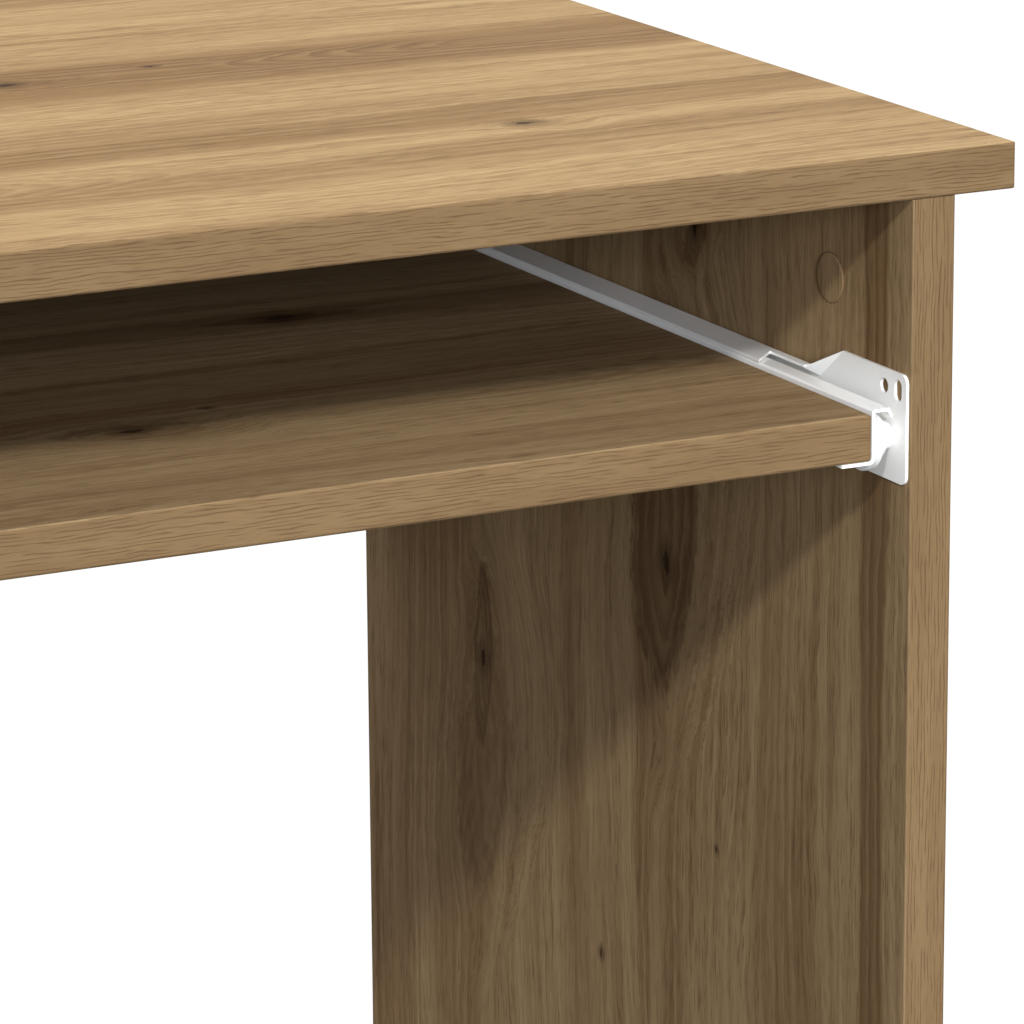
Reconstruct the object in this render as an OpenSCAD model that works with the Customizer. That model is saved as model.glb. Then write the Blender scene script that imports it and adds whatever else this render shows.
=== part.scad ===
// Small computer desk with a keyboard tray that rolls out on a pair of sheet-metal slides.
// Flat boards are joined with cam fittings and dowels.
// The origin is on the floor under the middle of the desktop: +X right, -Y towards the user, +Z up.

/* [Desk] */
// Width of the desktop
desk_w = 800; // [700:10:1200]
// Depth of the desktop and the side panels
desk_d = 400; // [390:10:600]
// Height of the desktop's upper face over the floor
desk_h = 720; // [700:5:780]
// Thickness of every board
board_t = 15; // [15:0.5:18]
// How far the desktop reaches past each side panel
overhang = 21.5; // [10:0.5:40]
// Radius along the boards' banded edges
edge_r = 1.2; // [0.5:0.1:2]
// Height of the back panel
back_h = 185; // [160:5:220]
// How far the back panel stands in from the rear edge
back_inset = 10; // [5:1:30]

/* [Keyboard tray] */
// Depth of the tray, which is also the length of the slides
tray_d = 300; // [290:5:320]
// How far the tray's front edge stands behind the desktop's
tray_inset = 2; // [1:0.5:10]
// Clear height between the tray and the desktop
tray_gap = 66.8; // [60:0.2:100]
// Gap between the tray and each side panel
slide_gap = 13; // [13:0.5:16]

/* [Slides] */
// Thickness of the slides' sheet metal
sheet_t = 1; // [0.8:0.1:1]
// Outer radius of the bends in the sheet
bend_r = 2; // [1.5:0.1:2.5]
// Radius of the rear rollers, which run inside the channels
rear_roller_r = 9; // [8:0.5:9]
// Radius of the front rollers' treads, which carry the tray rails
front_roller_r = 10.4; // [9:0.1:10.4]
// Radius of the axle pins
pin_r = 2.5; // [2:0.1:3]
// Radial clearance of a roller on its pin
pin_play = 0.06; // [0.03:0.01:0.1]

/* [Fittings] */
// Distance from a board's end to the middle of its cam
cam_offset = 34; // [30:0.5:36]
// Radius of the cam housings
cam_r = 7.5; // [7:0.25:8]
// Radius of the caps that cover the cams
cap_r = 8; // [7.8:0.1:9]
// Radius of the wooden dowels
dowel_r = 4; // [3:0.5:4]
// Height of the glides under the side panels
glide_h = 3; // [2:0.5:6]

/* [Hidden] */
$fn = 64;

oak = [0.72, 0.59, 0.42];
white_coat = [0.93, 0.93, 0.92];
nylon = [0.96, 0.96, 0.94];
zinc = [0.72, 0.73, 0.75];
beech = [0.85, 0.72, 0.52];
black_plastic = [0.12, 0.12, 0.12];

// Play around fasteners in their holes
play = 0.05;
// Gap kept between pieces that move past each other
run_gap = 0.3;

// Board positions
front_y = -desk_d / 2;
back_y = desk_d / 2;
desk_under = desk_h - board_t;
panel_out = desk_w / 2 - overhang;
panel_in = panel_out - board_t;
panel_mid = (panel_in + panel_out) / 2;
back_rear = back_y - back_inset;
back_mid = back_rear - board_t / 2;
back_low = desk_under - back_h;
tray_x = panel_in - slide_gap;
tray_front = front_y + tray_inset;
tray_rear = tray_front + tray_d;
tray_top = desk_under - tray_gap;
tray_low = tray_top - board_t;

// Slide sections, measured on the right-hand side
web_x = panel_in - sheet_t;
rail_x = tray_x + sheet_t;
tray_rail_top = tray_low + board_t + 1.5;
tray_rail_low = tray_low - sheet_t;
channel_top = tray_rail_top + run_gap + sheet_t;
channel_roof = channel_top - sheet_t;
channel_floor = channel_roof - 2 * (rear_roller_r + run_gap);
channel_low = channel_floor - sheet_t;
channel_lip_x = tray_x - 0.2;
floor_lip_x = rail_x + 0.9;
tray_flange_x = tray_x + 6.1;
tray_lip_drop = 2.6;
tray_lip_reach = 1.5;
bottom_flange_w = 11.7;

// Lengthwise stations of the cabinet rails, from the tray's front edge
plate_front = tray_front - 0.2;
plate_end = plate_front + 27;
channel_start = plate_end + 11;
tab_end = tray_front + 39;
strip_start = tray_front + 58;
cut_front = tray_front + 70.3;
cut_run = 9.5;
strip_w = 4.2;
tab_rise = 8;
plate_drop = 6.7;
plate_top = channel_top + tab_rise;
plate_low = channel_low - plate_drop;
plate_corner = 3;

// Rollers
front_roller_y = tray_front + 11.5;
front_roller_z = tray_rail_top - sheet_t - run_gap - front_roller_r;
front_shoulder_r = 7.2;
front_x0 = rail_x + 0.7;
front_tread_w = 3.4;
front_roller_w = 6.5;
rear_roller_y = tray_rear - 11;
rear_roller_z = channel_floor + run_gap + rear_roller_r;
rear_x0 = rail_x + 1;
rear_roller_w = slide_gap - 6.1;
pin_head_r = 4;
pin_head_t = 0.8;
pin_collar_r = 4.6;
stop_r = 3;
stop_h = 1.4;
stop_y = cut_front + cut_run + 1;

// Screws in the slides
screw_r = 1.75;
screw_head_r = 3.4;
screw_head_t = 1.5;
screw_l = 11;
cabinet_screw_ys = [tray_front + 68, tray_front + 160, tray_front + 250];
tray_screw_ys = [tray_front + 50, tray_front + 150, tray_front + 265];
tray_screw_x = tray_x - 5.5;

// Cam fittings and dowels
cam_ys = [front_y + 50, back_y - 50];
cam_depth = 12.5;
cam_t = 10.4;
cap_t = 0.8;
cap_plug_t = 1.2;
// Depth of the bolt's axis under a cam's driver face
cam_bolt_depth = board_t / 2 - cap_plug_t - run_gap;
bolt_r = 3;
bolt_neck_r = 2;
bolt_head_r = 3.4;
bolt_grip = 11;
neck_hole_r = 4;
top_dowel_ys = [-70, 70];
dowel_l = 30;
dowel_in = 10;
back_cam_zs = [back_low + 35, desk_under - 30];
back_dowel_z = (back_cam_zs[0] + back_cam_zs[1]) / 2;
glide_ys = [front_y + 40, back_y - 40];
glide_r = 7;
glide_nail_r = 1.2;
glide_nail_l = 12;

// Draws its children on the right, or mirrored on the left
module on_side(s) {
    if (s > 0) children();
    else mirror([1, 0, 0]) children();
}

// Draws its children on both sides
module both_sides() {
    for (s = [-1, 1]) on_side(s) children();
}

// Rod along +X from p
module rod_x(p, r, l) {
    translate(p) rotate([0, 90, 0]) cylinder(r = r, h = l);
}

// Rod along +Y from p
module rod_y(p, r, l) {
    translate(p) rotate([-90, 0, 0]) cylinder(r = r, h = l);
}

// Rod along +Z from p
module rod_z(p, r, l) {
    translate(p) cylinder(r = r, h = l);
}

// Rectangle from the origin with round corners
module round_rect(w, h, r) {
    difference() {
        square([w, h]);
        for (x = [0, 1], y = [0, 1])
            translate([x * w, y * h]) rotate((x + y == 1 ? (x == 1 ? 90 : 270) : x * 180))
                difference() {
                    translate([-1, -1]) square([r + 1, r + 1]);
                    translate([r, r]) circle(r, $fn = 32);
                }
    }
}

// Board from its low corner with every edge rounded, or with its top edges left square for a butt joint
module board(low, size, square_top = false) {
    h = size[2] + (square_top ? 2 * edge_r : 0);
    translate(low) intersection() {
        linear_extrude(size[2]) round_rect(size[0], size[1], edge_r);
        rotate([90, 0, 90]) linear_extrude(size[0]) round_rect(size[1], h, edge_r);
        translate([0, size[1], 0]) rotate([90, 0, 0]) linear_extrude(size[1]) round_rect(size[0], h, edge_r);
    }
}

// Quarter ring of sheet in the first quadrant
module bend() {
    intersection() {
        difference() {
            circle(bend_r, $fn = 48);
            circle(bend_r - sheet_t, $fn = 48);
        }
        square(bend_r);
    }
}

// Extrudes an X-Z outline from y0 to y1
module along_y(y0, y1) {
    translate([0, y1, 0]) rotate([90, 0, 0]) linear_extrude(y1 - y0) children();
}

// Cam bolt along +Z: threaded end up from z = 0, neck and head down to the cam
module cam_bolt() {
    rod_z([0, 0, 0], bolt_r, bolt_grip);
    rod_z([0, 0, -2], bolt_r + 0.8, 2);
    rod_z([0, 0, -cam_offset], bolt_neck_r, cam_offset - 1.9);
    rod_z([0, 0, -cam_offset - 2.5], bolt_head_r, 4);
}

// Hole for a cam bolt's neck, from a board's end at z = 0 to the cam
module neck_hole() {
    rod_z([0, 0, -cam_offset], neck_hole_r, cam_offset + 1);
}

// Cam housing along +X from its inner end, with its driver slot and the mouth for the bolt's head
module cam() {
    mouth_r = bolt_head_r + 0.4;
    difference() {
        rod_x([0, 0, 0], cam_r - 0.15, cam_t);
        translate([cam_t - 2, -0.7, -4.5]) cube([3, 1.4, 9]);
        translate([cam_t - 2, -4.5, -0.7]) cube([3, 9, 1.4]);
        rod_z([cam_t - cam_bolt_depth, 0, -3.2], mouth_r, cam_r + 5);
    }
}

// Cap over a cam along +X: a thin disc outside and a plug in the hole
module cam_cap() {
    rod_x([0, 0, 0], cap_r, cap_t);
    rod_x([-cap_plug_t, 0, 0], cam_r - 0.2, cap_plug_t + 0.1);
}

// Placements of the top cams, with the local +X towards the inside of the desk
module at_top_cams() {
    both_sides() for (y = cam_ys)
        translate([panel_in, y, desk_under - cam_offset]) mirror([1, 0, 0]) children();
}

// Placements of the top bolts, at the joint between the panels and the desktop
module at_top_bolts() {
    both_sides() for (y = cam_ys) translate([panel_mid, y, desk_under]) children();
}

// Placements of the back cams, with the local +X out of the rear face and +Z to the side panel
module at_back_cams() {
    both_sides() for (z = back_cam_zs)
        translate([panel_in - cam_offset, back_rear, z]) rotate([90, 0, 90]) children();
}

// Placements of the back bolts, at the joint between the back and the side panels
module at_back_bolts() {
    both_sides() for (z = back_cam_zs) translate([panel_in, back_mid, z]) rotate([0, 90, 0]) children();
}

module desktop() {
    color(oak) difference() {
        board([-desk_w / 2, front_y, desk_under], [desk_w, desk_d, board_t]);
        at_top_bolts() rod_z([0, 0, -1], bolt_r + play, bolt_grip + 1.2);
        both_sides() for (y = top_dowel_ys)
            rod_z([panel_mid, y, desk_under - 1], dowel_r + play, dowel_in + 1.2);
    }
}

// Right-hand side panel
module side_panel() {
    difference() {
        board([panel_in, front_y, glide_h], [board_t, desk_d, desk_under - glide_h], square_top = true);
        for (y = cam_ys) {
            rod_x([panel_in - 1, y, desk_under - cam_offset], cam_r, cam_depth + 1);
            translate([panel_mid, y, desk_under]) neck_hole();
        }
        for (y = top_dowel_ys)
            rod_z([panel_mid, y, desk_under - dowel_l + dowel_in - 0.2], dowel_r + play, dowel_l);
        for (z = back_cam_zs) rod_x([panel_in - 1, back_mid, z], bolt_r + play, bolt_grip + 1.2);
        rod_x([panel_in - 1, back_mid, back_dowel_z], dowel_r + play, dowel_in + 1.2);
        for (y = cabinet_screw_ys)
            rod_x([panel_in - 1, y, rear_roller_z], screw_r + play, screw_l + 1.2);
        for (y = glide_ys)
            rod_z([panel_mid, y, glide_h - 1], glide_nail_r + play, glide_nail_l + 1.2);
    }
}

module side_panel_left() {
    color(oak) on_side(-1) side_panel();
}

module side_panel_right() {
    color(oak) on_side(1) side_panel();
}

module back_panel() {
    color(oak) difference() {
        board([-panel_in, back_rear - board_t, back_low], [2 * panel_in, board_t, back_h]);
        at_back_bolts() neck_hole();
        both_sides() {
            for (z = back_cam_zs)
                rod_y([panel_in - cam_offset, back_rear - cam_depth, z], cam_r, cam_depth + 1);
            rod_x([panel_in - dowel_l + dowel_in - 0.2, back_mid, back_dowel_z], dowel_r + play, dowel_l);
        }
    }
}

module keyboard_tray() {
    color(oak) difference() {
        board([-tray_x, tray_front, tray_low], [2 * tray_x, tray_d, board_t]);
        both_sides() for (y = tray_screw_ys)
            rod_z([tray_screw_x, y, tray_low - 1], screw_r + play, screw_l + 1.2);
    }
}

// Channel section of a cabinet rail without its roof
module channel_floor_outline() {
    translate([web_x, channel_low + bend_r]) square([sheet_t, channel_top - channel_low - 2 * bend_r]);
    translate([panel_in - bend_r, channel_low + bend_r]) mirror([0, 1]) bend();
    translate([floor_lip_x, channel_low]) square([panel_in - bend_r - floor_lip_x, sheet_t]);
}

// Roof of the channel, from x0 out to the web
module roof_outline(x0) {
    translate([panel_in - bend_r, channel_top - bend_r]) bend();
    translate([x0, channel_roof]) square([panel_in - bend_r - x0, sheet_t]);
}

// Front plate of a cabinet rail in the Y-Z plane, with its raised tab
module plate_outline() {
    difference() {
        polygon([
            [plate_front, plate_low], [plate_end, plate_low], [channel_start, channel_low + bend_r],
            [strip_start + 2, channel_low + bend_r], [strip_start + 2, channel_top - bend_r],
            [strip_start, channel_top], [tab_end, plate_top], [plate_front, plate_top]
        ]);
        for (z = [plate_low, plate_top]) translate([plate_front, z]) mirror([0, z == plate_low ? 0 : 1])
            difference() {
                translate([-1, -1]) square(plate_corner + 1);
                translate([plate_corner, plate_corner]) circle(plate_corner);
            }
    }
}

// Folded corner where the upright tab turns into the roof's narrow strip
module tab_fold() {
    corners = [
        [web_x, strip_start - 5, channel_top - 3], [web_x, tab_end, plate_top - 0.2],
        [panel_in - strip_w, strip_start, channel_roof], [web_x, strip_start + 2, channel_roof]
    ];
    hull() for (p = corners) translate(p) cube([sheet_t, 0.2, 0.2]);
}

// Upright slot and round hole in the raised tab
module tab_holes() {
    slot_y = plate_front + 5;
    hole_y = plate_front + 13.4;
    hole_z = plate_top - 5.6;
    hole_r = 2.4;
    slot_r = 2.2;
    slot_rise = 1.3;
    for (z = [-slot_rise, slot_rise]) rod_x([web_x - 1, slot_y, hole_z + z], slot_r, sheet_t + 2);
    translate([web_x - 1, slot_y - slot_r, hole_z - slot_rise]) cube([sheet_t + 2, 2 * slot_r, 2 * slot_rise]);
    rod_x([web_x - 1, hole_y, hole_z], hole_r, sheet_t + 2);
}

// Right-hand cabinet rail: channel for the rear roller, front plate for the front roller
module cabinet_rail() {
    difference() {
        union() {
            along_y(channel_start, tray_rear) channel_floor_outline();
            along_y(strip_start, tray_rear) roof_outline(panel_in - strip_w);
            along_y(cut_front, tray_rear) roof_outline(channel_lip_x);
            translate([web_x, 0, 0]) rotate([90, 0, 90]) linear_extrude(sheet_t) plate_outline();
            tab_fold();
            translate([floor_lip_x, tray_rear - sheet_t, channel_low])
                cube([web_x - floor_lip_x, sheet_t, rear_roller_r]);
            rod_z([rear_x0 + rear_roller_w / 2, stop_y, channel_floor - 0.1], stop_r, stop_h + 0.1);
        }
        translate([channel_lip_x, cut_front, channel_roof - 1]) linear_extrude(sheet_t + 2)
            polygon([[-1, -1], [panel_in - strip_w - channel_lip_x, -1],
                [panel_in - strip_w - channel_lip_x, cut_run], [-1, 0]]);
        tab_holes();
        rod_x([web_x - 1, front_roller_y, front_roller_z], pin_r, sheet_t + 2);
        for (y = cabinet_screw_ys) rod_x([web_x - 1, y, rear_roller_z], screw_r + play, sheet_t + 2);
    }
}

module cabinet_rail_left() {
    color(white_coat) on_side(-1) cabinet_rail();
}

module cabinet_rail_right() {
    color(white_coat) on_side(1) cabinet_rail();
}

// Section of a tray rail below its upper flange
module tray_rail_outline() {
    web_low = tray_rail_low + bend_r;
    translate([tray_x, web_low]) square([sheet_t, tray_top - web_low]);
    translate([rail_x - bend_r, tray_rail_low + bend_r]) mirror([0, 1]) bend();
    translate([rail_x - bottom_flange_w, tray_rail_low])
        square([bottom_flange_w - bend_r, sheet_t]);
}

// Upper flange of a tray rail, with its turned-down lip
module tray_flange_outline() {
    polygon([
        [tray_x, tray_rail_top - 2], [rail_x, tray_rail_top - 2], [rail_x, tray_rail_top - sheet_t],
        [tray_flange_x - 0.6, tray_rail_top - sheet_t],
        [tray_flange_x + tray_lip_reach - 0.8, tray_rail_top - sheet_t - tray_lip_drop + 0.4],
        [tray_flange_x + tray_lip_reach, tray_rail_top - sheet_t - tray_lip_drop + 0.8],
        [tray_flange_x, tray_rail_top], [tray_x + 0.6, tray_rail_top], [tray_x, tray_rail_top - 0.6]
    ]);
}

// Right-hand tray rail: carries the tray's edge and runs on the front roller
module tray_rail() {
    difference() {
        union() {
            along_y(tray_front, tray_rear) tray_rail_outline();
            along_y(tray_front, rear_roller_y - rear_roller_r - 2) tray_flange_outline();
        }
        for (y = tray_screw_ys)
            rod_z([tray_screw_x, y, tray_rail_low - 1], screw_r + play, sheet_t + 2);
        rod_x([tray_x - 1, rear_roller_y, rear_roller_z], pin_r, sheet_t + 2);
    }
}

module tray_rail_left() {
    color(white_coat) on_side(-1) tray_rail();
}

module tray_rail_right() {
    color(white_coat) on_side(1) tray_rail();
}

// Right-hand front roller: a tread under the tray rail and a shoulder beside its lip
module front_roller() {
    p = [front_x0, front_roller_y, front_roller_z];
    difference() {
        union() {
            rod_x(p, front_roller_r, front_tread_w);
            rod_x(p, front_shoulder_r, front_roller_w);
        }
        rod_x(p - [1, 0, 0], pin_r + pin_play, front_roller_w + 2);
        rod_x(p - [1, 0, 0], pin_head_r + run_gap, pin_head_t + 1 + run_gap - 0.1);
    }
}

module front_roller_left() {
    color(nylon) on_side(-1) front_roller();
}

module front_roller_right() {
    color(nylon) on_side(1) front_roller();
}

// Right-hand rear roller, which runs inside the channel
module rear_roller() {
    p = [rear_x0, rear_roller_y, rear_roller_z];
    difference() {
        rod_x(p, rear_roller_r, rear_roller_w);
        rod_x(p - [1, 0, 0], pin_r + pin_play, rear_roller_w + 2);
        translate(p + [rear_roller_w - 0.8, 0, 0]) rotate([0, 90, 0]) difference() {
            cylinder(r = rear_roller_r - 1.5, h = 2);
            cylinder(r = pin_head_r + 0.4, h = 2);
        }
    }
}

module rear_roller_left() {
    color(nylon) on_side(-1) rear_roller();
}

module rear_roller_right() {
    color(nylon) on_side(1) rear_roller();
}

// Right-hand front pin: riveted in the plate, with a collar and a head that keep the roller in place
module front_roller_pin() {
    head_x = front_x0 - 0.1;
    collar_x = front_x0 + front_roller_w + run_gap;
    yz = [front_roller_y, front_roller_z];
    rod_x([head_x, yz[0], yz[1]], pin_head_r, pin_head_t);
    rod_x([head_x, yz[0], yz[1]], pin_r, panel_in - head_x);
    rod_x([collar_x, yz[0], yz[1]], pin_collar_r, web_x - collar_x);
}

module front_roller_pin_left() {
    color(zinc) on_side(-1) front_roller_pin();
}

module front_roller_pin_right() {
    color(zinc) on_side(1) front_roller_pin();
}

// Right-hand rear pin: riveted in the tray rail
module rear_roller_pin() {
    head_x = rear_x0 + rear_roller_w + run_gap;
    yz = [rear_roller_y, rear_roller_z];
    rod_x([tray_x, yz[0], yz[1]], pin_r, head_x + pin_head_t - tray_x);
    rod_x([rail_x, yz[0], yz[1]], pin_head_r, rear_x0 - run_gap - rail_x);
    rod_x([head_x, yz[0], yz[1]], pin_head_r, pin_head_t);
}

module rear_roller_pin_left() {
    color(zinc) on_side(-1) rear_roller_pin();
}

module rear_roller_pin_right() {
    color(zinc) on_side(1) rear_roller_pin();
}

// Screw along +Z with its head below z = 0, a cross recess in the head and a tapered end
module screw() {
    difference() {
        union() {
            rod_z([0, 0, -screw_head_t], screw_head_r, screw_head_t);
            rod_z([0, 0, -0.5], screw_r, screw_l - 2);
            translate([0, 0, screw_l - 2.5]) cylinder(r1 = screw_r, r2 = 0.4, h = 2.5);
        }
        for (a = [0, 90]) rotate(a) translate([-1.8, -0.4, -screw_head_t - 1]) cube([3.6, 0.8, 1.8]);
    }
}

module cabinet_rail_screws() {
    color(zinc) both_sides() for (y = cabinet_screw_ys)
        translate([web_x, y, rear_roller_z]) rotate([0, 90, 0]) screw();
}

module tray_screws() {
    color(zinc) both_sides() for (y = tray_screw_ys)
        translate([tray_screw_x, y, tray_rail_low]) screw();
}

module top_cams() {
    color(zinc) at_top_cams() translate([-cap_plug_t - run_gap - cam_t, 0, 0]) cam();
}

module top_cam_bolts() {
    color(zinc) at_top_bolts() cam_bolt();
}

module top_cam_caps() {
    color(oak) at_top_cams() cam_cap();
}

module top_dowels() {
    color(beech) both_sides() for (y = top_dowel_ys)
        rod_z([panel_mid, y, desk_under - dowel_l + dowel_in], dowel_r, dowel_l);
}

module back_cams() {
    color(zinc) at_back_cams() translate([-cap_plug_t - run_gap - cam_t, 0, 0]) cam();
}

module back_cam_bolts() {
    color(zinc) at_back_bolts() cam_bolt();
}

module back_cam_caps() {
    color(oak) at_back_cams() cam_cap();
}

module back_dowels() {
    color(beech) both_sides()
        rod_x([panel_in - dowel_l + dowel_in, back_mid, back_dowel_z], dowel_r, dowel_l);
}

module foot_glides() {
    color(black_plastic) both_sides() for (y = glide_ys) {
        rod_z([panel_mid, y, 0.8], glide_r, glide_h - 0.8);
        translate([panel_mid, y, 0]) cylinder(r1 = glide_r - 0.8, r2 = glide_r, h = 0.8);
        rod_z([panel_mid, y, glide_h - 0.5], glide_nail_r, glide_nail_l + 0.5);
    }
}

desktop();
side_panel_left();
side_panel_right();
back_panel();
keyboard_tray();
cabinet_rail_left();
cabinet_rail_right();
tray_rail_left();
tray_rail_right();
front_roller_left();
front_roller_right();
rear_roller_left();
rear_roller_right();
front_roller_pin_left();
front_roller_pin_right();
rear_roller_pin_left();
rear_roller_pin_right();
cabinet_rail_screws();
tray_screws();
top_cams();
top_cam_bolts();
top_cam_caps();
top_dowels();
back_cams();
back_cam_bolts();
back_cam_caps();
back_dowels();
foot_glides();
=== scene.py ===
"""Computer desk with a keyboard tray: materials, turned and moulded pieces, light and camera."""
import math
import random

import bmesh
import bpy
from mathutils import Matrix, Vector


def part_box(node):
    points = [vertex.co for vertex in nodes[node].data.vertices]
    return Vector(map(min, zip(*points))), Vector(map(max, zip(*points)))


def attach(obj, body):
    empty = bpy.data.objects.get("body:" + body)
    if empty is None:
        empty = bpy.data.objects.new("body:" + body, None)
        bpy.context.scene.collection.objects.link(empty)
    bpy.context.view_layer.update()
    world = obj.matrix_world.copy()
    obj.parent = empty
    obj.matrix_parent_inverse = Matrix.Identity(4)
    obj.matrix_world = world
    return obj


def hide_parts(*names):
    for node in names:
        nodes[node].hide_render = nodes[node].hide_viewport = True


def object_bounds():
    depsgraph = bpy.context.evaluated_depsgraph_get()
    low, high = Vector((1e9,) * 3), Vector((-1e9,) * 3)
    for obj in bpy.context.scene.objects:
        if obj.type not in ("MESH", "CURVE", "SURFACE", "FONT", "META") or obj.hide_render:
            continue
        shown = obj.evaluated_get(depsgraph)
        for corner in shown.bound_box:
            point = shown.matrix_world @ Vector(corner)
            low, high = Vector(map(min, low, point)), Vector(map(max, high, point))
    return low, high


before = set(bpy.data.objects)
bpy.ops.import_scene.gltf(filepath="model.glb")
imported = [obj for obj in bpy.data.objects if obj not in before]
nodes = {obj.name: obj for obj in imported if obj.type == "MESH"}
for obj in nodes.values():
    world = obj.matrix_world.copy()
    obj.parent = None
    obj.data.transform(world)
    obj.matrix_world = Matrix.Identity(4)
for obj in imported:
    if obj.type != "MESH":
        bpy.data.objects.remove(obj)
cad_low, cad_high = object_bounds()
scene = bpy.context.scene


# ---------------------------------------------------------------- node helpers
class Tree:
    """Builds a shader's nodes with short calls. A value is a number, a vector or another node's output."""

    def __init__(self, name):
        self.material = bpy.data.materials.new(name)
        self.material.use_nodes = True
        self.nodes = self.material.node_tree.nodes
        self.links = self.material.node_tree.links
        self.nodes.clear()
        place = self.nodes.new("ShaderNodeTexCoord")
        self.coords, self.normal = place.outputs["Object"], place.outputs["Normal"]

    def put(self, socket, value):
        if isinstance(value, bpy.types.NodeSocket):
            self.links.new(value, socket)
        else:
            socket.default_value = value

    def math(self, operation, *values, clamp=False):
        made = self.nodes.new("ShaderNodeMath")
        made.operation = operation
        made.use_clamp = clamp
        for socket, value in zip(made.inputs, values):
            self.put(socket, value)
        return made.outputs[0]

    def add(self, *values):
        total = values[0]
        for value in values[1:]:
            total = self.math("ADD", total, value)
        return total

    def mul(self, *values):
        total = values[0]
        for value in values[1:]:
            total = self.math("MULTIPLY", total, value)
        return total

    def sub(self, a, b):
        return self.math("SUBTRACT", a, b)

    def combine(self, x, y, z):
        made = self.nodes.new("ShaderNodeCombineXYZ")
        for socket, value in zip(made.inputs, (x, y, z)):
            self.put(socket, value)
        return made.outputs[0]

    def separate(self, vector):
        made = self.nodes.new("ShaderNodeSeparateXYZ")
        self.put(made.inputs[0], vector)
        return made.outputs[0], made.outputs[1], made.outputs[2]

    def noise(self, vector, detail=2.0, roughness=0.5, distortion=0.0):
        made = self.nodes.new("ShaderNodeTexNoise")
        self.put(made.inputs["Vector"], vector)
        made.inputs["Scale"].default_value = 1.0
        made.inputs["Detail"].default_value = detail
        made.inputs["Roughness"].default_value = roughness
        made.inputs["Distortion"].default_value = distortion
        return made.outputs["Fac"]

    def ramp(self, value, low, high, out_low=0.0, out_high=1.0):
        """Smooth step from out_low at low to out_high at high."""
        made = self.nodes.new("ShaderNodeMapRange")
        made.interpolation_type = "SMOOTHSTEP"
        for socket, v in zip(made.inputs, (value, low, high, out_low, out_high)):
            self.put(socket, v)
        return made.outputs[0]

    def mix(self, factor, a, b):
        made = self.nodes.new("ShaderNodeMix")
        made.data_type = "RGBA"
        self.put(made.inputs[0], factor)
        self.put(made.inputs[6], a)
        self.put(made.inputs[7], b)
        return made.outputs[2]

    def shader(self, color, roughness, height=None, bump=0.1, distance=0.0005, **constants):
        made = self.nodes.new("ShaderNodeBsdfPrincipled")
        self.put(made.inputs["Base Color"], color)
        self.put(made.inputs["Roughness"], roughness)
        for name, value in constants.items():
            made.inputs[name.replace("_", " ")].default_value = value
        if height is not None:
            bumped = self.nodes.new("ShaderNodeBump")
            bumped.inputs["Strength"].default_value = bump
            bumped.inputs["Distance"].default_value = distance
            self.put(bumped.inputs["Height"], height)
            self.links.new(bumped.outputs[0], made.inputs["Normal"])
        out = self.nodes.new("ShaderNodeOutputMaterial")
        self.links.new(made.outputs[0], out.inputs["Surface"])
        return self.material


def rgb(r, g, b):
    """A colour given in sRGB, 0 to 255, as the linear values that sockets take."""
    def linear(c):
        c /= 255
        return c / 12.92 if c <= 0.04045 else ((c + 0.055) / 1.055) ** 2.4
    return (linear(r), linear(g), linear(b), 1.0)


# ---------------------------------------------------------------- materials
# Tones of the printed oak, as linear albedo
PALE = (0.312, 0.215, 0.110, 1.0)
TAN = (0.262, 0.172, 0.086, 1.0)
BROWN = (0.164, 0.093, 0.041, 1.0)
UMBER = (0.096, 0.053, 0.024, 1.0)
KNOT = (0.022, 0.010, 0.004, 1.0)
EDGE_PALE = (0.210, 0.134, 0.065, 1.0)
EDGE_TAN = (0.183, 0.114, 0.054, 1.0)
EDGE_LINE = (0.086, 0.047, 0.020, 1.0)
RING_PITCH = 0.0056
EDGE_PITCH = 0.0012
ARCH_PITCH = 0.0048
ARCH_SLOPE = 0.30      # how far an arch's axis climbs the rings for each metre along the grain
EYE_SKEW = 0.7         # how far an eye leans along the grain for each metre across it
SWAY = 0.044           # how far the grain wanders across the board
SHIVER = 0.0080        # how far it ripples
JAG = 0.0060           # how ragged a knot's outline is
EYE_SHELL = 0.27       # pitch of the rings inside an eye, as a share of its size


def flame(t, u, v, half_u, half_v):
    """Distance from a centre, as 1 on a leaf shape with pointed ends."""
    u, v = t.math("DIVIDE", u, half_u), t.math("DIVIDE", v, half_v)
    return t.add(t.mul(u, u), t.math("SQRT", t.add(t.mul(v, v), 0.01)))


def ring_lines(t, height, pitch):
    """Growth rings: each fades in slowly and ends sharply."""
    turn = t.math("FRACT", t.math("DIVIDE", height, pitch))
    return t.mul(t.ramp(turn, 0.10, 0.84), t.ramp(turn, 1.0, 0.88))


def edge_band(t, xyz, thick):
    """Colour of the edge banding: thin wavy lines that run along the edge, broken here and there."""
    def stretched(across, along):
        return t.combine(*[t.mul(xyz[k], across if k == thick else along) for k in "xyz"])
    sway = t.sub(t.noise(stretched(150.0, 30.0), 3.0, 0.6), 0.5)
    gaps = t.noise(stretched(700.0, 62.0), 1.0)
    hairs = t.noise(stretched(2600.0, 130.0), 2.0)
    tone = t.noise(stretched(130.0, 11.0), 2.0)
    turn = t.math("FRACT", t.add(t.math("DIVIDE", xyz[thick], EDGE_PITCH), t.mul(sway, 3.0)))
    line = t.mul(t.ramp(turn, 0.50, 0.82), t.ramp(turn, 1.0, 0.86), t.ramp(gaps, 0.40, 0.54))
    color = t.mix(t.ramp(tone, 0.35, 0.65), EDGE_PALE, EDGE_TAN)
    color = t.mix(t.ramp(hairs, 0.46, 0.74, 0.0, 0.30), color, EDGE_LINE)
    return t.mix(t.mul(line, 0.62), color, EDGE_LINE), line


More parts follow.
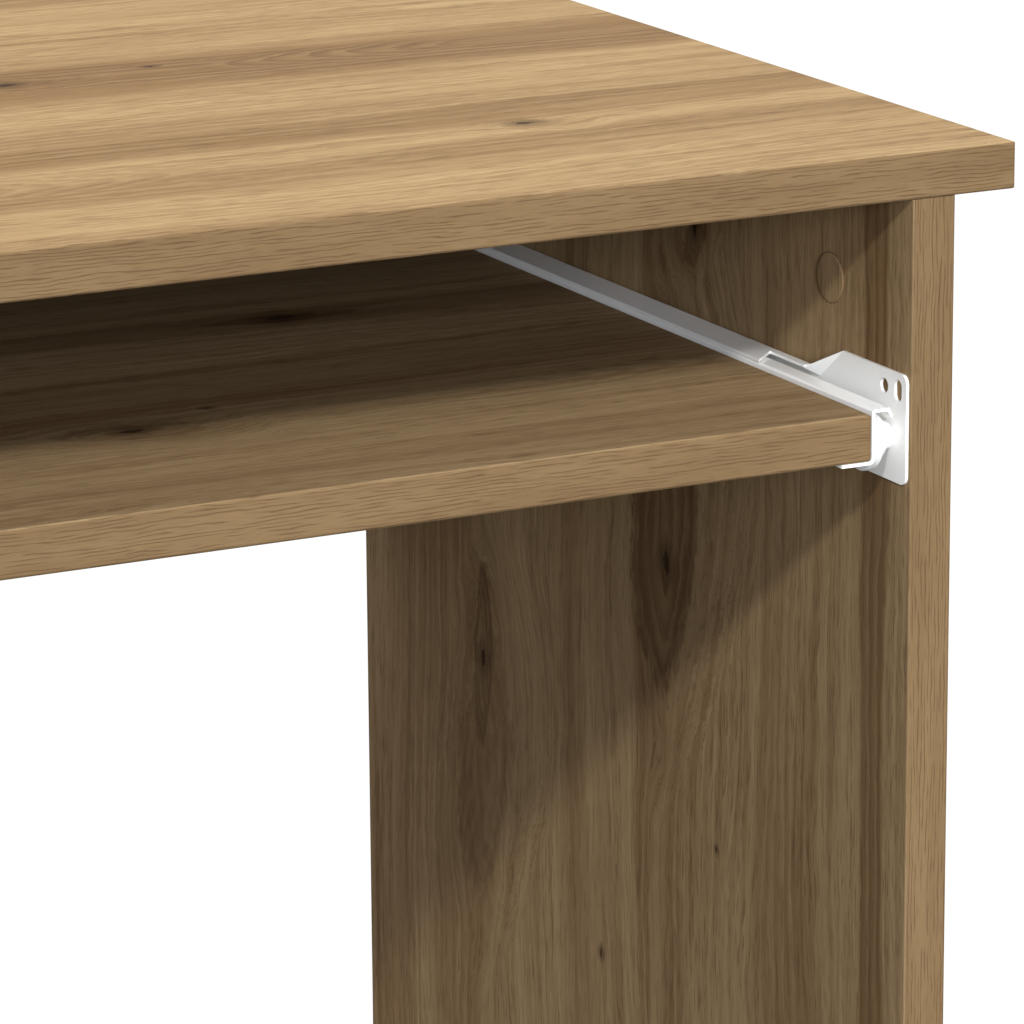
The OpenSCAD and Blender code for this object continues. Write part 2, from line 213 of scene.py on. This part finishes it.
def oak(name, grain, across, seed, bands=(), eyes=(), cores=(), arches=()):
    """Printed oak on a board, with edge banding round its rim. Places are in metres in the board's plane.

    bands are (across, half width, strength): dark heartwood along the whole board.
    eyes are (along, across, half length, half width, strength): brown patches that the grain parts round.
    cores are (along, across, radius): black hearts of knots.
    arches are (along, across, half length, half width): nested arches in the grain. They point along
    the grain's positive direction, or the other way where the half length is negative.
    """
    t = Tree(name)
    xyz = dict(zip("xyz", t.separate(t.coords)))
    along, wide = xyz[grain], xyz[across]
    thick = ({"x", "y", "z"} - {grain, across}).pop()
    depth = xyz[thick]
    slow = t.noise(t.combine(t.mul(along, 1.9), t.add(t.mul(wide, 6.5), seed), depth), 2.0)
    ripple = t.noise(t.combine(t.mul(along, 15.0), t.mul(wide, 60.0), t.add(depth, seed)), 3.0, 0.6)
    ragged = t.noise(t.combine(t.mul(along, 90.0), t.mul(wide, 200.0), t.add(depth, seed)), 3.0, 0.7)
    shiver = t.mul(t.sub(ripple, 0.5), SHIVER)
    jag = t.mul(t.sub(ragged, 0.5), JAG)
    crumb = t.noise(t.combine(t.mul(along, 260.0), t.mul(wide, 640.0), t.add(depth, seed)), 2.0, 0.7)
    field = t.add(wide, t.mul(t.sub(slow, 0.5), SWAY), shiver)
    wavy = field
    eye, core = 0.0, 0.0
    for e_along, e_wide, length, width, strength in eyes:
        da = t.add(t.sub(along, e_along), t.mul(jag, 2.0))
        dw = t.add(t.sub(wide, e_wide), shiver, jag)
        reach = flame(t, t.add(da, t.mul(dw, EYE_SKEW)), dw, length, width)
        parted = t.ramp(reach, 3.0, 0.0)
        field = t.sub(field, t.mul(parted, t.sub(wide, e_wide), 0.80))
        field = t.add(field, t.mul(parted, reach, width * 0.50))
        shells = ring_lines(t, reach, EYE_SHELL)
        torn = t.add(reach, t.mul(t.sub(ragged, 0.5), 0.9))
        inside = t.ramp(torn, 1.15, 0.80)
        filled = t.mul(inside, t.add(t.ramp(reach, 0.10, 0.95, 0.70, 0.95), t.mul(shells, 0.35)))
        glow = t.ramp(torn, 2.8, 0.9, 0.0, 0.34)
        eye = t.math("MAXIMUM", eye, t.mul(t.math("MAXIMUM", filled, glow), strength))
    for c_along, c_wide, radius in cores:
        da = t.add(t.sub(along, c_along), t.mul(jag, 0.5))
        dw = t.add(t.sub(wide, c_wide), t.mul(jag, 0.35))
        reach = t.add(flame(t, da, dw, radius * 1.5, radius * 0.6), t.mul(t.sub(crumb, 0.5), 2.4))
        core = t.math("MAXIMUM", core, t.ramp(reach, 1.25, 0.60, 0.0, 0.92))
        core = t.math("MAXIMUM", core, t.ramp(reach, 5.0, 0.9, 0.0, 0.42))
    # growth rings are contour lines of the field; in an arch they fold over its axis
    ring = ring_lines(t, t.add(field, t.mul(slow, 0.010)), RING_PITCH)
    patch = t.noise(t.combine(t.mul(along, 2.4), t.mul(field, 46.0), seed), 2.0)
    ring = t.mul(ring, t.ramp(patch, 0.38, 0.60))
    for a_along, a_wide, length, width in arches:
        da = t.sub(along, a_along)
        dw = t.add(t.sub(wide, a_wide), t.mul(shiver, 0.7), t.mul(jag, 0.3))
        fold = t.math("SQRT", t.add(t.mul(dw, dw), (width * 0.35) ** 2))
        climb = t.add(t.mul(da, math.copysign(ARCH_SLOPE, length)), t.mul(shiver, 0.8), t.mul(jag, 0.35))
        arch = t.mul(ring_lines(t, t.add(fold, climb), ARCH_PITCH), t.ramp(patch, 0.30, 0.62, 0.35, 1.25))
        part = t.ramp(flame(t, da, dw, length, width), 1.20, 0.55)
        ring = t.add(t.mul(ring, t.sub(1.0, part)), t.mul(arch, part))
    # dark heartwood: the board's own bands, and slow ones that noise makes
    drift = t.combine(t.mul(along, 1.1), t.add(t.mul(field, 17.0), seed * 3.1), t.mul(depth, 4.0))
    smoke = t.noise(drift, 3.0)
    band = t.ramp(smoke, 0.50, 0.70, 0.0, 0.60)
    for b_wide, half, strength in bands:
        reach = t.math("ABSOLUTE", t.math("DIVIDE", t.sub(wavy, b_wide), half))
        reach = t.add(reach, t.mul(t.sub(smoke, 0.5), 1.4))
        band = t.math("MAXIMUM", band, t.ramp(reach, 1.25, 0.60, 0.0, strength))
    # fibres, and pores as short dark dashes
    fibre = t.noise(t.combine(t.mul(along, 18.0), t.mul(field, 460.0), depth), 3.0, 0.62)
    streak = t.noise(t.combine(t.mul(along, 3.5), t.mul(field, 120.0), t.add(depth, seed)), 3.0)
    pore = t.noise(t.combine(t.mul(along, 120.0), t.mul(field, 1900.0), depth), 1.0)
    dash = t.noise(t.combine(t.mul(along, 75.0), t.mul(field, 1150.0), t.add(depth, seed)), 1.0)
    pore = t.mul(t.ramp(pore, 0.54, 0.66), t.ramp(patch, 0.30, 0.65, 0.45, 1.0))
    dash = t.mul(t.ramp(dash, 0.56, 0.66), t.ramp(streak, 0.35, 0.60, 0.35, 1.0))
    color = t.mix(t.ramp(fibre, 0.30, 0.68), TAN, PALE)
    color = t.mix(t.ramp(streak, 0.48, 0.72, 0.0, 0.58), color, BROWN)
    color = t.mix(t.mul(band, t.ramp(fibre, 0.25, 0.75, 0.95, 0.70)), color, BROWN)
    color = t.mix(t.mul(ring, t.add(t.mul(band, 0.25), 0.34)), color, t.mix(band, BROWN, UMBER))
    color = t.mix(t.mul(eye, t.ramp(fibre, 0.25, 0.75, 0.92, 0.70)), color, UMBER)
    color = t.mix(t.mul(pore, 0.38), color, UMBER)
    color = t.mix(t.mul(dash, 0.50), color, UMBER)
    color = t.mix(core, color, KNOT)
    # the rim of the board is banded with another print
    rim_color, rim_line = edge_band(t, xyz, thick)
    tilt = dict(zip("xyz", t.separate(t.normal)))[thick]
    rim = t.ramp(t.math("ABSOLUTE", tilt), 0.72, 0.66)
    color = t.mix(rim, color, rim_color)
    height = t.sub(t.mul(fibre, 0.4), t.mul(t.math("MAXIMUM", pore, t.mul(rim, rim_line)), 0.7))
    rough = t.ramp(fibre, 0.2, 0.8, 0.66, 0.58)
    return t.shader(color, rough, height, bump=0.22, distance=0.0003, Specular_IOR_Level=0.03)


def plain(name, color, roughness, grain_scale=900.0, variation=0.04, bump=0.06, **constants):
    """Moulded, coated or plated surface: a fine orange-peel texture with a little change of tone."""
    t = Tree(name)
    peel = t.noise(t.combine(*[t.mul(c, grain_scale) for c in t.separate(t.coords)]), 2.0)
    soft = t.noise(t.combine(*[t.mul(c, 22.0) for c in t.separate(t.coords)]), 3.0)
    darker = tuple(c * (1 - 2 * variation) for c in color[:3]) + (1.0,)
    shade = t.mix(t.ramp(soft, 0.3, 0.7), color, darker)
    rough = t.ramp(soft, 0.3, 0.7, roughness - 0.05, roughness + 0.05)
    return t.shader(shade, rough, peel, bump=bump, distance=0.0002, **constants)


# Figure of each board. Places are shares of the board's own box, from its low corner; sizes are in metres.
# The places on the desktop, tray and right panel are rounded from places measured in the photograph.
DESKTOP = dict(
    bands=[(0.60, 0.030, 1.0), (0.32, 0.018, 0.8), (0.17, 0.016, 0.5), (0.97, 0.015, 0.6)],
    eyes=[(0.85, 0.25, 0.016, 0.008, 0.3), (0.70, 0.60, 0.026, 0.006, 0.5), (0.25, 0.35, 0.045, 0.012, 0.9)],
    cores=[(0.85, 0.25, 0.0030), (0.70, 0.60, 0.0032), (0.25, 0.35, 0.0040)],
    arches=[(0.85, 0.60, -0.055, 0.017), (0.65, 0.20, 0.050, 0.015), (0.35, 0.65, 0.080, 0.022)])
TRAY = dict(
    bands=[(0.45, 0.030, 0.5), (0.70, 0.012, 0.8)],
    eyes=[(0.85, 0.70, 0.032, 0.007, 1.0), (0.70, 0.30, 0.028, 0.012, 0.6), (0.20, 0.60, 0.045, 0.013, 0.9)],
    cores=[(0.85, 0.70, 0.0050), (0.70, 0.30, 0.0034), (0.20, 0.60, 0.0045)],
    arches=[(0.95, 0.30, 0.040, 0.012), (0.50, 0.55, 0.070, 0.018)])
PANEL = dict(
    bands=[(0.05, 0.007, 0.9), (0.80, 0.030, 0.55), (0.40, 0.018, 0.35)],
    eyes=[(0.80, 0.40, 0.066, 0.025, 1.0), (0.68, 0.75, 0.040, 0.009, 0.9), (0.62, 0.75, 0.055, 0.024, 0.55),
          (0.95, 0.35, 0.014, 0.010, 0.8), (0.30, 0.55, 0.055, 0.020, 0.9)],
    cores=[(0.78, 0.40, 0.0036), (0.83, 0.40, 0.0028), (0.68, 0.75, 0.0030), (0.95, 0.35, 0.0024),
           (0.30, 0.55, 0.0050)],
    arches=[(0.60, 0.75, 0.055, 0.026), (0.40, 0.35, 0.100, 0.025)])
LEFT = dict(
    bands=[(0.10, 0.010, 0.8), (0.70, 0.030, 0.55), (0.35, 0.018, 0.35)],
    eyes=[(0.40, 0.40, 0.060, 0.022, 0.9), (0.75, 0.65, 0.030, 0.012, 0.8)],
    cores=[(0.40, 0.40, 0.0045), (0.75, 0.65, 0.0030)],
    arches=[(0.55, 0.30, 0.080, 0.024), (0.20, 0.60, 0.090, 0.022)])
BACK = dict(
    bands=[(0.30, 0.020, 0.7), (0.75, 0.016, 0.6)],
    eyes=[(0.65, 0.45, 0.045, 0.012, 0.9), (0.20, 0.70, 0.025, 0.008, 0.8)],
    cores=[(0.65, 0.45, 0.0040), (0.20, 0.70, 0.0024)],
    arches=[(0.42, 0.40, 0.100, 0.020)])
PINS = 6                            # small knots scattered on each board
PIN_KNOT_SIZES = (0.0008, 0.0018)   # smallest and largest radius


def board_oak(name, node, grain, across, seed, figure):
    """Oak for one board: its figure laid out on the board's box, and pin knots scattered by the seed."""
    low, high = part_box(node)
    first, second = "xyz".index(grain), "xyz".index(across)

    def place(axis, share):
        return low[axis] + share * (high[axis] - low[axis])

    def laid(spots):
        return [(place(first, along), place(second, wide), *sizes) for along, wide, *sizes in spots]

    draw = random.Random(seed)
    pins = [(draw.random(), draw.random(), draw.uniform(*PIN_KNOT_SIZES)) for _ in range(PINS)]
    return oak(name, grain, across, seed,
               bands=[(place(second, wide), *sizes) for wide, *sizes in figure["bands"]],
               eyes=laid(figure["eyes"]), cores=laid(figure["cores"] + pins), arches=laid(figure["arches"]))


desktop_oak = board_oak("desktop_oak", "desktop", "x", "y", 1.7, DESKTOP)
tray_oak = board_oak("tray_oak", "keyboard_tray", "x", "y", 5.3, TRAY)
panel_oak = board_oak("panel_oak", "side_panel_right", "z", "y", 9.1, PANEL)
left_oak = board_oak("left_panel_oak", "side_panel_left", "z", "y", 14.6, LEFT)
back_oak = board_oak("back_panel_oak", "back_panel", "x", "z", 12.4, BACK)
white_coat = plain("white_coat", (0.94, 0.93, 0.885, 1.0), 0.34, 1400.0, 0.01, 0.05, Coat_Weight=0.25)
nylon = plain("white_nylon", (0.89, 0.88, 0.83, 1.0), 0.42, 700.0, 0.02, 0.04)
zinc = plain("zinc", (0.62, 0.63, 0.65, 1.0), 0.30, 1800.0, 0.10, 0.08, Metallic=1.0)
beech = plain("beech", rgb(214, 180, 132), 0.6, 500.0, 0.08, 0.2)
black = plain("black_plastic", (0.02, 0.02, 0.021, 1.0), 0.5, 1100.0, 0.1, 0.1)

FINISHES = {
    "desktop": desktop_oak, "keyboard_tray": tray_oak, "back_panel": back_oak,
    "side_panel_left": left_oak, "side_panel_right": panel_oak,
    "cabinet_rail": white_coat, "tray_rail": white_coat, "front_roller_pin": white_coat,
    "front_roller": nylon, "rear_roller": nylon, "rear_roller_pin": zinc,
    "cabinet_rail_screws": zinc, "tray_screws": zinc, "top_cams": zinc, "back_cams": zinc,
    "top_cam_bolts": zinc, "back_cam_bolts": zinc, "top_cam_caps": panel_oak, "back_cam_caps": back_oak,
    "top_dowels": beech, "back_dowels": beech, "foot_glides": black,
}
for name, part in nodes.items():
    finish = FINISHES.get(name) or FINISHES[name.rsplit("_", 1)[0]]
    part.data.materials.clear()
    part.data.materials.append(finish)

# ---------------------------------------------------------------- turned and moulded pieces
SEGMENTS = 96
WELD = 1e-6
SMOOTH_ANGLE = math.radians(38)
CAP_RIM = 0.0003
CAP_LID = 0.0008
CAP_STEP = 0.0007
TREAD_RIM = 0.0007
# Rollers: the pin, the front roller's tread, shoulder and well, the rear roller's groove and hub
PIN_RADIUS = 0.0025
PIN_PLAY = 0.00006
TREAD_WIDTH = 0.0034
SHOULDER_RADIUS = 0.0072
WELL_RADIUS = 0.0043
WELL_DEPTH = 0.0010
GROOVE_DEPTH = 0.0008
GROOVE_WALL = 0.0015
HUB_RADIUS = 0.0044
# Pins: heads, and where their collars start and end, from the inner end outwards
HEAD_RADIUS = 0.0040
HEAD_HEIGHT = 0.0008
FRONT_COLLAR = (0.0069, 0.0104)
FRONT_COLLAR_RADIUS = 0.0046
REAR_COLLAR = (0.0010, 0.0017)
PIN_RIM = 0.0005
# Glides
GLIDE_HEIGHT = 0.003
GLIDE_BEVEL = 0.0008
GLIDE_RIM = 0.0006
NAIL_RADIUS = 0.0012


def lathe(name, profile, center, axis, material):
    """Turned piece: profile points are (distance along axis from center, radius), from end to end."""
    mesh = bmesh.new()
    side = Vector((0, 0, 1)) if abs(axis.z) < 0.5 else Vector((1, 0, 0))
    other = axis.cross(side)
    rings = []
    for distance, radius in profile:
        middle = center + axis * distance
        if radius == 0:
            rings.append([mesh.verts.new(middle)])
            continue
        ring = []
        for k in range(SEGMENTS):
            turn = 2 * math.pi * k / SEGMENTS
            spoke = side * math.cos(turn) + other * math.sin(turn)
            ring.append(mesh.verts.new(middle + spoke * radius))
        rings.append(ring)
    for one, two in zip(rings, rings[1:]):
        for k in range(SEGMENTS):
            corners = [one[k % len(one)], one[(k + 1) % len(one)], two[(k + 1) % len(two)], two[k % len(two)]]
            mesh.faces.new(list(dict.fromkeys(corners)))
    bmesh.ops.remove_doubles(mesh, verts=mesh.verts, dist=WELD)
    bmesh.ops.recalc_face_normals(mesh, faces=mesh.faces)
    data = bpy.data.meshes.new(name)
    mesh.to_mesh(data)
    mesh.free()
    data.shade_smooth()
    data.set_sharp_from_angle(angle=SMOOTH_ANGLE)
    piece = bpy.data.objects.new(name, data)
    data.materials.append(material)
    scene.collection.objects.link(piece)
    return piece


def rounded(points, radius, steps=4):
    """Profile with its corners rounded, each by at most the radius given."""
    made = [points[0]]
    for before, corner, after in zip(points, points[1:], points[2:]):
        corner = Vector(corner)
        back, ahead = Vector(before) - corner, Vector(after) - corner
        reach = min(radius, back.length / 2, ahead.length / 2)
        start, end = corner + back.normalized() * reach, corner + ahead.normalized() * reach
        for k in range(steps + 1):
            f = k / steps
            made.append(tuple(start * (1 - f) ** 2 + corner * 2 * f * (1 - f) + end * f ** 2))
    return made + [points[-1]]


def islands(node):
    """Lowest and highest corners of each separate solid in a node."""
    mesh = bmesh.new()
    mesh.from_mesh(nodes[node].data)
    bmesh.ops.remove_doubles(mesh, verts=mesh.verts, dist=WELD)
    left, found = set(mesh.verts), []
    while left:
        grown, edge = set(), [left.pop()]
        while edge:
            vert = edge.pop()
            grown.add(vert)
            for link in vert.link_edges:
                far = link.other_vert(vert)
                if far in left:
                    left.discard(far)
                    edge.append(far)
        places = [v.co for v in grown]
        found.append((Vector([min(p[i] for p in places) for i in range(3)]),
                      Vector([max(p[i] for p in places) for i in range(3)])))
    mesh.free()
    return sorted(found, key=lambda pair: tuple(round(c, 4) for c in pair[0]))


def make_caps():
    """Covers over the cam fittings: thin discs with a soft rim, in the print of the board they sit in."""
    for node, axis_name, prints in (("top_cam_caps", "x", (left_oak, panel_oak)),
                                    ("back_cam_caps", "y", (back_oak, back_oak))):
        pieces = []
        for k, (lo, hi) in enumerate(islands(node)):
            side = 1 if lo.x > 0 else 0
            center, size = (lo + hi) / 2, hi - lo
            if axis_name == "x":
                axis = Vector((-1, 0, 0)) if side else Vector((1, 0, 0))
                thick = size.x
            else:
                axis = Vector((0, 1, 0))
                thick = size.y
            radius, inner, outer = size.z / 2, -thick / 2, thick / 2
            lid, plug = outer - CAP_LID, radius - CAP_STEP
            profile = [(inner, 0), (inner, plug), (lid, plug), (lid, radius), (outer, radius), (outer, 0)]
            name = f"{node[:-1]}_{k + 1}"
            pieces.append(lathe(name, rounded(profile, CAP_RIM), center, axis, prints[side]))
        for piece in pieces:
            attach(piece, "frame")
            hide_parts(node)


def make_rollers():
    """Moulded nylon rollers: soft-edged treads, a groove round the hub and an open bore for the pin."""
    bore = PIN_RADIUS + PIN_PLAY
    for side_name, outward in (("left", -1), ("right", 1)):
        axis = Vector((outward, 0, 0))
        for where in ("front", "rear"):
            name = f"{where}_roller_{side_name}"
            lo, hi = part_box(name)
            center = (Vector(lo) + Vector(hi)) / 2
            half, radius = (hi[0] - lo[0]) / 2, (hi[2] - lo[2]) / 2
            if where == "front":
                tread, shoulder, well = -half + TREAD_WIDTH, SHOULDER_RADIUS, -half + WELL_DEPTH
                outline = [(well, bore), (well, WELL_RADIUS), (-half, WELL_RADIUS), (-half, radius),
                           (tread, radius), (tread, shoulder), (half, shoulder), (half, bore), (well, bore)]
            else:
                groove = half - GROOVE_DEPTH
                outline = [(-half, bore), (-half, radius), (half, radius), (half, radius - GROOVE_WALL),
                           (groove, radius - GROOVE_WALL), (groove, HUB_RADIUS), (half, HUB_RADIUS),
                           (half, bore), (-half, bore)]
            piece = lathe(f"{name}_moulding", rounded(outline, TREAD_RIM), center, axis, nylon)
            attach(piece, name)
            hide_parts(name)


def make_pins():
    """Riveted roller pins with domed heads: the front ones with a collar, the rear ones with a shoulder."""
    for side_name, outward in (("left", -1), ("right", 1)):
        axis = Vector((outward, 0, 0))
        for where, head_first, collar, collar_radius, finish, slot, body in (
                ("front", True, FRONT_COLLAR, FRONT_COLLAR_RADIUS, white_coat, "white_coated_steel", "frame"),
                ("rear", False, REAR_COLLAR, HEAD_RADIUS, zinc, "zinc", "tray")):
            name = f"{where}_roller_pin_{side_name}"
            lo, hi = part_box(name)
            length = hi[0] - lo[0]
            start = (Vector(lo) + Vector(hi)) / 2 - axis * length / 2
            middle = [(collar[0], PIN_RADIUS), (collar[0], collar_radius), (collar[1], collar_radius),
                      (collar[1], PIN_RADIUS)]
            if head_first:
                outline = [(0, 0), (0, HEAD_RADIUS), (HEAD_HEIGHT, HEAD_RADIUS),
                           (HEAD_HEIGHT, PIN_RADIUS), *middle, (length, PIN_RADIUS), (length, 0)]
            else:
                neck = length - HEAD_HEIGHT
                outline = [(0, 0), (0, PIN_RADIUS), *middle, (neck, PIN_RADIUS), (neck, HEAD_RADIUS),
                           (length, HEAD_RADIUS), (length, 0)]
            piece = lathe(f"{name}_turned", rounded(outline, PIN_RIM), start, axis, finish)
            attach(piece, body)
            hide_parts(name)


def make_glides():
    """Nailed glides under the side panels, with a domed foot."""
    up = Vector((0, 0, 1))
    for k, (lo, hi) in enumerate(islands("foot_glides")):
        center = Vector(((lo.x + hi.x) / 2, (lo.y + hi.y) / 2, lo.z))
        radius, height = (hi.x - lo.x) / 2, hi.z - lo.z
        outline = [(0, 0), (0, radius - GLIDE_BEVEL), (GLIDE_BEVEL, radius), (GLIDE_HEIGHT, radius),
                   (GLIDE_HEIGHT, NAIL_RADIUS), (height, NAIL_RADIUS), (height, 0)]
        piece = lathe(f"foot_glide_{k + 1}", rounded(outline, GLIDE_RIM), center, up, black)
        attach(piece, "frame")
        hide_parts("foot_glides")


make_caps()
make_rollers()
make_pins()
make_glides()

# ---------------------------------------------------------------- floor, light and camera
FLOOR_HALF = 12.0
FLOOR_DROP = 0.0005
FLOOR_ALBEDO = 0.10
FLOOR_GLOW = 0.84      # what a camera sees the floor give out, so that it looks nearly white
SENSOR_WIDTH = 36.0
CAMERA_FROM_CORNER = Vector((-0.8904, -1.4170, 0.3285))
CAMERA_YAW, CAMERA_PITCH, CAMERA_ROLL = 26.766, 14.989, -0.411
CAMERA_LENS = 192.62
COOL = (0.94, 1.0, 1.12)
WARM = (1.06, 1.0, 0.80)


def make_floor():
    """Wide pale floor, seen nearly white, with soft contact shadows under the object."""
    mesh = bmesh.new()
    bmesh.ops.create_grid(mesh, x_segments=1, y_segments=1, size=FLOOR_HALF)
    data = bpy.data.meshes.new("floor")
    mesh.to_mesh(data)
    mesh.free()
    floor = bpy.data.objects.new("floor", data)
    floor.location = (0, 0, cad_low.z - FLOOR_DROP)
    scene.collection.objects.link(floor)
    t = Tree("pale_floor")
    path = t.nodes.new("ShaderNodeLightPath").outputs["Is Camera Ray"]
    matte = t.nodes.new("ShaderNodeBsdfDiffuse")
    matte.inputs["Color"].default_value = (FLOOR_ALBEDO, FLOOR_ALBEDO, FLOOR_ALBEDO, 1.0)
    glow = t.nodes.new("ShaderNodeEmission")
    t.links.new(t.mul(path, FLOOR_GLOW), glow.inputs["Strength"])
    seen = t.nodes.new("ShaderNodeAddShader")
    t.links.new(matte.outputs[0], seen.inputs[0])
    t.links.new(glow.outputs[0], seen.inputs[1])
    out = t.nodes.new("ShaderNodeOutputMaterial")
    t.links.new(seen.outputs[0], out.inputs["Surface"])
    data.materials.append(t.material)


def make_sun(name, strength, azimuth, elevation, spread, color=(1.0, 1.0, 1.0)):
    """A distant lamp. Azimuth is where it stands: 0 in front of the object, positive to the right."""
    data = bpy.data.lights.new(name, "SUN")
    data.energy = strength
    data.color = color
    data.angle = math.radians(spread)
    turn, lift = math.radians(azimuth), math.radians(elevation)
    travel = Vector((-math.sin(turn) * math.cos(lift), math.cos(turn) * math.cos(lift), -math.sin(lift)))
    lamp = bpy.data.objects.new(name, data)
    lamp.rotation_mode = "QUATERNION"
    lamp.rotation_quaternion = travel.to_track_quat("-Z", "Y")
    scene.collection.objects.link(lamp)


def make_world(seen, lit, color):
    """Even surroundings: their brightness as seen, and as they light the object."""
    world = bpy.data.worlds.new("studio")
    world.use_nodes = True
    tree = world.node_tree
    back = tree.nodes["Background"]
    path = tree.nodes.new("ShaderNodeLightPath")
    span = tree.nodes.new("ShaderNodeMapRange")
    tree.links.new(path.outputs["Is Camera Ray"], span.inputs[0])
    span.inputs[3].default_value = lit
    span.inputs[4].default_value = seen
    tree.links.new(span.outputs[0], back.inputs["Strength"])
    back.inputs["Color"].default_value = (*color, 1.0)
    scene.world = world


def make_camera():
    """Camera at the picture's angle: low over the desktop's front right corner, from the front left."""
    corner = Vector((cad_high.x, cad_low.y, cad_high.z))
    yaw, pitch, roll = math.radians(CAMERA_YAW), math.radians(CAMERA_PITCH), math.radians(CAMERA_ROLL)
    ahead = Vector((math.sin(yaw) * math.cos(pitch), math.cos(yaw) * math.cos(pitch), -math.sin(pitch)))
    level = Vector((math.cos(yaw), -math.sin(yaw), 0.0))
    upright = level.cross(ahead)
    right = level * math.cos(roll) + upright * math.sin(roll)
    up = upright * math.cos(roll) - level * math.sin(roll)
    data = bpy.data.cameras.new("camera")
    data.lens, data.sensor_width = CAMERA_LENS, SENSOR_WIDTH
    camera = bpy.data.objects.new("camera", data)
    turn = Matrix((right, up, -ahead)).transposed().to_4x4()
    camera.matrix_world = Matrix.Translation(corner + CAMERA_FROM_CORNER) @ turn
    scene.collection.objects.link(camera)
    scene.camera = camera


make_floor()
make_world(seen=1.1, lit=0.62, color=COOL)
make_sun("key", 1.32, azimuth=-34.7, elevation=31.7, spread=3.5)
make_sun("low_front", 2.3, azimuth=-16, elevation=12, spread=18, color=COOL)
make_sun("high_front", 1.35, azimuth=10, elevation=40, spread=12)
make_sun("back_top", 3.95, azimuth=130, elevation=45, spread=30, color=WARM)
make_camera()
scene.view_settings.view_transform = "Standard"
